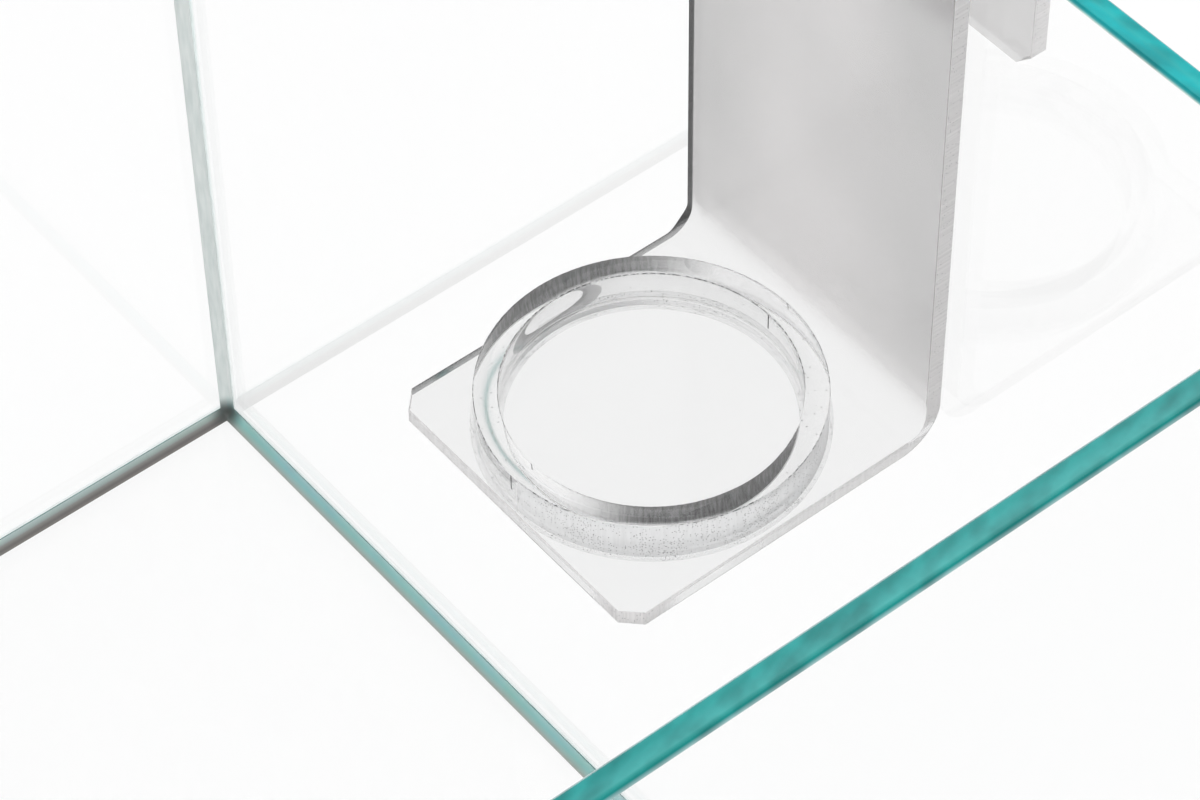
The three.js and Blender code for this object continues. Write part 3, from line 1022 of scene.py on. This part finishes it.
def turned_ring():
    """A slice of tube: a small wall section spun round the axis, with its edges broken."""
    height = ring_high.z - RING_FOOT
    made = start(
        bpy.ops.mesh.primitive_cube_add, "acrylic_ring", size=1.0,
        location=(RING_X + RING_OUTER - RING_WALL / 2, RING_Y, RING_FOOT + height / 2),
        scale=(RING_WALL, 1.0 * MM, height),
    )
    take_away(made, lambda f: f.normal.y < 0.5)
    on_all(bpy.ops.transform.translate, value=(0, -0.5 * MM, 0))
    bpy.ops.mesh.select_mode(type="VERT")
    on_all(bpy.ops.mesh.bevel, offset=RING_BREAK, segments=2, affect="VERTICES")
    spin_round(made, use_auto_merge=True)
    on_all(bpy.ops.mesh.normals_make_consistent, inside=False)
    return finish_shape(made, 30)


def cement_fillet(name, radius, outward):
    """A bead of cement in the corner between the wall of the ring and the foot."""
    root = (RING_X + radius, RING_Y, FOOT_TOP)
    made = start(
        bpy.ops.mesh.primitive_plane_add, name, size=1.0 * MM, location=root,
        rotation=(math.pi / 2, 0, 0),
    )
    section = (FILLET_REACH / MM, 1, FILLET / MM)
    on_all(bpy.ops.transform.resize, value=section, center_override=root)
    bpy.ops.transform.translate(value=(outward * FILLET_REACH / 2, 0, FILLET / 2))
    far = RING_X + radius + outward * FILLET_REACH
    pick(made, "verts", lambda v: abs(v.co.x - far) < NEAR and v.co.z > FOOT_TOP + 0.5 * FILLET)
    bpy.ops.mesh.bevel(offset=FILLET_REACH * 0.96, segments=6, profile=0.15, affect="VERTICES")
    spin_round(made)
    if outward > 0:
        on_all(
            bpy.ops.mesh.bisect, plane_co=(strip_low.x + 0.05 * MM, 0, 0), plane_no=(1, 0, 0),
            use_fill=True, clear_inner=True,
        )
    on_all(bpy.ops.mesh.normals_make_consistent, inside=False)
    return finish_shape(made, 50)


def dress_acrylic():
    """The strip, the ring and its cement, each with the looks of its faces and its cut edges."""
    strip = bent_strip()
    edge_look = broken_edge()
    for look in (clear_acrylic(), sawn_acrylic(), edge_look):
        strip.data.materials.append(look)
    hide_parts("hanging_stand")
    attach(strip, "stand")
    ring = turned_ring()
    looks = (
        ring_acrylic(),
        ring_wall("tube_wall_outside", 1.0, 0.62, 1.0),
        ring_wall("tube_wall_inside", -1.0, 0.06, 0.3),
        bonded_acrylic(),
        edge_look,
    )
    for look in looks:
        ring.data.materials.append(look)
    half = RING_OUTER - RING_WALL / 2
    for polygon in ring.data.polygons:
        radius = math.hypot(polygon.center.x - RING_X, polygon.center.y - RING_Y)
        if abs(polygon.normal.z) > 0.95:
            polygon.material_index = TUBE_END if polygon.normal.z > 0 else TUBE_FOOT
        elif abs(polygon.normal.z) > 0.1:
            polygon.material_index = TUBE_ARRIS
        else:
            polygon.material_index = TUBE_OUTSIDE if radius > half else TUBE_INSIDE
    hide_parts("cup_ring")
    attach(ring, "stand")
    cement = dried_cement()
    outside = cement_fillet("cement_fillet_outside", RING_OUTER - CEMENT_BITE, 1)
    inside = cement_fillet("cement_fillet_inside", RING_OUTER - RING_WALL + CEMENT_BITE, -1)
    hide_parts("ring_cement")
    for piece in (outside, inside):
        piece.data.materials.append(cement)
        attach(piece, "stand")


# ---------- the studio ----------


def white_to_the_eye(tree):
    """1 for rays from the camera, mirrors and glass, which see plain white, and 0 for the rest."""
    path = add(tree, "LightPath")
    first = add(
        tree, "Math", {"operation": "MAXIMUM"},
        {0: path.outputs["Is Camera Ray"], 1: path.outputs["Is Glossy Ray"]},
    )
    return add(
        tree, "Math", {"operation": "MAXIMUM"}, {0: first, 1: path.outputs["Is Transmission Ray"]}
    )


def make_world():
    """An even white surround, a little dimmer as a lamp than as a backdrop."""
    world = bpy.data.worlds.new("studio")
    bpy.context.scene.world = world
    world.use_nodes = True
    tree = world.node_tree
    tree.nodes.clear()
    seen = white_to_the_eye(tree)
    strength = add(tree, "MapRange", {"To Min": 0.85, "To Max": 1.0}, {"Value": seen})
    light = add(tree, "Background", {"Color": (1, 1, 1, 1)}, {"Strength": strength})
    add(tree, "OutputWorld", links={"Surface": light})


def make_floor():
    """White paper that takes soft shadows and looks plain white through the glass."""
    bpy.ops.object.select_all(action="DESELECT")
    bpy.ops.mesh.primitive_plane_add(size=12.0, location=(0, 0, -0.5 * MM))
    floor = bpy.context.object
    floor.name = "studio_floor"
    made, tree = new_material("white_paper")
    seen = white_to_the_eye(tree)
    share = add(tree, "Math", {"operation": "MULTIPLY", 1: 0.9}, {0: seen})
    paper = add(tree, "BsdfDiffuse", {"Color": srgb("#F8F8F8")})
    bright = add(tree, "Emission", {"Color": (1, 1, 1, 1), "Strength": 1.0})
    mix = add(tree, "MixShader", links={0: share, 1: paper, 2: bright})
    add(tree, "OutputMaterial", links={"Surface": mix})
    floor.data.materials.append(made)


def add_softbox(name, place, aim, size, power):
    """A round soft lamp, aimed at a point."""
    light = bpy.data.lights.new(name, "AREA")
    light.shape = "DISK"
    light.size = size
    light.energy = power
    lamp = bpy.data.objects.new(name, light)
    bpy.context.scene.collection.objects.link(lamp)
    lamp.location = place
    lamp.rotation_euler = (Vector(aim) - Vector(place)).to_track_quat("-Z", "Y").to_euler()


def make_camera():
    """The camera looks down into the back right corner of the tank."""
    azimuth, elevation, roll = math.radians(-38.375), math.radians(49.333), math.radians(-0.860)
    camera = bpy.data.cameras.new("camera")
    camera.lens = 133.6
    camera.sensor_width = 36.0
    camera.clip_end = 20.0
    made = bpy.data.objects.new("camera", camera)
    bpy.context.scene.collection.objects.link(made)
    made.location = (-0.2350, -0.5177, 0.9675)
    back = Vector(
        (
            math.sin(azimuth) * math.cos(elevation),
            -math.cos(azimuth) * math.cos(elevation),
            math.sin(elevation),
        )
    )
    right = Vector((math.cos(azimuth), math.sin(azimuth), 0.0))
    up = back.cross(right)
    turned_right = right * math.cos(roll) + up * math.sin(roll)
    turned_up = up * math.cos(roll) - right * math.sin(roll)
    axes = Matrix((turned_right, turned_up, back)).transposed()
    made.rotation_euler = axes.to_euler()
    bpy.context.scene.camera = made


make_camera()
make_world()
make_floor()
add_softbox("key_softbox", (-0.9, -0.9, 2.2), (0.0, 0.0, 0.2), 1.6, 16.0)
add_softbox("fill_softbox", (1.4, 0.6, 1.6), (0.0, 0.0, 0.2), 1.4, 6.0)
dress_panes()
make_silicone()
dress_acrylic()
bpy.context.scene.view_settings.view_transform = "Standard"
